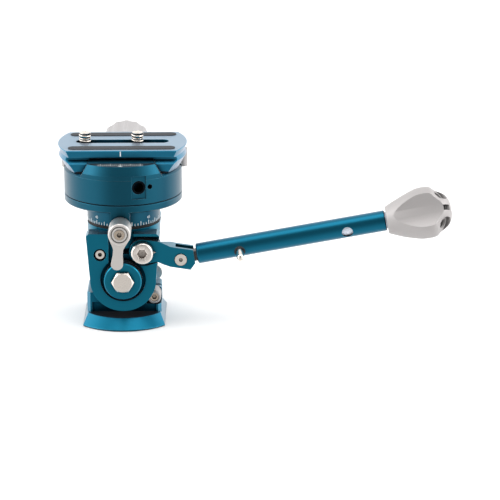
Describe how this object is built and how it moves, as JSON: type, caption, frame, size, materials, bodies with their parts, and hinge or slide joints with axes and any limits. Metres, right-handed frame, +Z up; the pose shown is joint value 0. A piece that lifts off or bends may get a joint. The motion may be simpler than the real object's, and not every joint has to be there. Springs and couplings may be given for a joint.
{
  "type": "two-way tilt head",
  "caption": "Small camera tilt head with a panning quick-release clamp, sliding plate, locking levers and a telescoping side handle.",
  "frame": {"origin": "centre of the base's underside, on the axis of the tripod thread", "axes": "+Z up, +X towards the handle, +Y to the rear, along the tilt axle"},
  "size_m": [0.1995, 0.0964, 0.0978],
  "materials": {
    "anodised_teal": "anodised, satin",
    "anodised_silver": "bead blasted and clear anodised",
    "steel": "polished stainless",
    "bronze": "sintered bearing bronze",
    "brass": "turned",
    "polymer": "bearing plastic",
    "rubber": "matte, finely grained"
  },
  "bodies": {
    "base": {"base_plate": "anodised_teal", "front_bush": "bronze", "rear_bush": "bronze", "drag_sleeve": "anodised_silver"},
    "drag screw": {"drag_screw": "steel"},
    "yoke": {"tilt_yoke": "anodised_teal", "tilt_axle": "steel", "pressure_washer": "anodised_teal", "friction_disc": "steel", "stop_screw": "steel", "rear_washer": "steel", "pan_drum": "anodised_teal", "drum_screws": "steel", "upper_pan_bush": "bronze", "lower_pan_bush": "bronze", "pan_thrust_washer": "polymer", "bracket_screw": "steel", "tab_washer": "steel"},
    "tilt lever": {"tilt_lever": "anodised_silver", "tilt_lever_insert": "steel", "tilt_lever_spring": "steel", "tilt_lever_screw": "steel"},
    "pan top": {"pan_disc": "anodised_teal", "pan_spindle": "steel", "pan_nut": "steel", "disc_spring": "steel", "clamp_body": "anodised_teal", "body_screws": "steel", "jaw_springs": "steel", "accessory_insert": "steel"},
    "brake": {"brake_shoe": "brass"},
    "pan lever": {"pan_lever": "anodised_silver", "pan_lever_stud": "steel", "pan_lever_spring": "steel", "pan_lever_screw": "steel"},
    "jaw": {"moving_jaw": "anodised_silver", "guide_pins": "steel"},
    "knob": {"clamp_knob": "anodised_silver", "clamp_screw": "steel", "knob_cap": "anodised_teal"},
    "plate": {"camera_plate": "anodised_teal", "front_pad": "rubber", "rear_pad": "rubber", "plate_stop_pins": "steel"},
    "clip 1": {"camera_clip_1": "steel"},
    "clip 2": {"camera_clip_2": "steel"},
    "camera screw 1": {"camera_screw_1": "steel"},
    "camera screw 2": {"camera_screw_2": "steel"},
    "bracket": {"handle_bracket": "anodised_teal", "fork_screw": "steel", "fork_nut": "steel"},
    "outer tube": {"handle_tube": "anodised_teal", "tube_plug": "anodised_silver", "pin_bush": "rubber"},
    "lock pin": {"lock_pin": "steel"},
    "grip": {"inner_tube": "anodised_silver", "handle_grip": "anodised_silver", "grip_screw": "steel"}
  },
  "joints": [
    {"name": "drag_screw_turn", "type": "hinge", "parent": "base", "child": "drag screw", "pos_m": [0.0154, 0, 0.0136], "axis": [0, 1, 0], "range_deg": [0, 180]},
    {"name": "tilt", "type": "hinge", "parent": "base", "child": "yoke", "pos_m": [0, 0, 0.0261], "axis": [0, 1, 0], "range_deg": [-45, 45]},
    {"name": "tilt_lever_turn", "type": "hinge", "parent": "yoke", "child": "tilt lever", "pos_m": [0, 0.022, 0.0261], "axis": [0, 1, 0], "range_deg": [-60, 60]},
    {"name": "pan", "type": "hinge", "parent": "yoke", "child": "pan top", "pos_m": [0, 0, 0.0625], "axis": [0, 0, -1], "range_deg": [-45, 270]},
    {"name": "pan_lever_turn", "type": "hinge", "parent": "pan top", "child": "pan lever", "pos_m": [-0.0006, -0.03, 0.0559], "axis": [0, -1, 0], "range_deg": [-55, 55]},
    {"name": "brake_shoe_travel", "type": "slide", "parent": "pan top", "child": "brake", "axis": [0, -1, 0], "range_m": [-0.0001222, 0.0001222]},
    {"name": "jaw_travel", "type": "slide", "parent": "pan top", "child": "jaw", "axis": [0, 1, 0], "range_m": [0, 0.003]},
    {"name": "clamp_knob_turn", "type": "hinge", "parent": "jaw", "child": "knob", "pos_m": [0, 0.0266, 0.0769], "axis": [0, 1, 0], "range_deg": [0, 1080]},
    {"name": "plate_slide", "type": "slide", "parent": "pan top", "child": "plate", "axis": [1, 0, 0], "range_m": [-0.011, 0.011]},
    {"name": "camera_screw_1_slide", "type": "slide", "parent": "plate", "child": "clip 1", "axis": [1, 0, 0], "range_m": [-0.0012, 0.01]},
    {"name": "camera_screw_2_slide", "type": "slide", "parent": "plate", "child": "clip 2", "axis": [1, 0, 0], "range_m": [-0.008, 0.012]},
    {"name": "camera_screw_1_turn", "type": "hinge", "parent": "clip 1", "child": "camera screw 1", "pos_m": [-0.019, 0, 0.0928], "axis": [0, 0, 1], "continuous": true},
    {"name": "camera_screw_2_turn", "type": "hinge", "parent": "clip 2", "child": "camera screw 2", "pos_m": [0.0076, 0, 0.0928], "axis": [0, 0, 1], "continuous": true},
    {"name": "bracket_lift", "type": "hinge", "parent": "yoke", "child": "bracket", "pos_m": [0.0099, -0.0172, 0.0405], "axis": [0, 1, 0], "range_deg": [-12, 0]},
    {"name": "handle_pitch", "type": "hinge", "parent": "bracket", "child": "outer tube", "pos_m": [0.0294, -0.0172, 0.0364], "axis": [0, -1, 0], "range_deg": [-95, 62]},
    {"name": "lock_pin_turn", "type": "hinge", "parent": "outer tube", "child": "lock pin", "pos_m": [0.05905, -0.0172, 0.04214], "axis": [0.0513, -0.9563, -0.2878], "range_deg": [0, 360]},
    {"name": "grip_draw", "type": "slide", "parent": "outer tube", "child": "grip", "axis": [0.9845, 0, 0.1754], "range_m": [0, 0.055]}
  ],
  "couplings": [
    {"joint": "pan_lever_turn", "follows": "brake_shoe_travel", "rad_per_m": 7854},
    {"joint": "clamp_knob_turn", "follows": "jaw_travel", "rad_per_m": 6283.2}
  ]
}
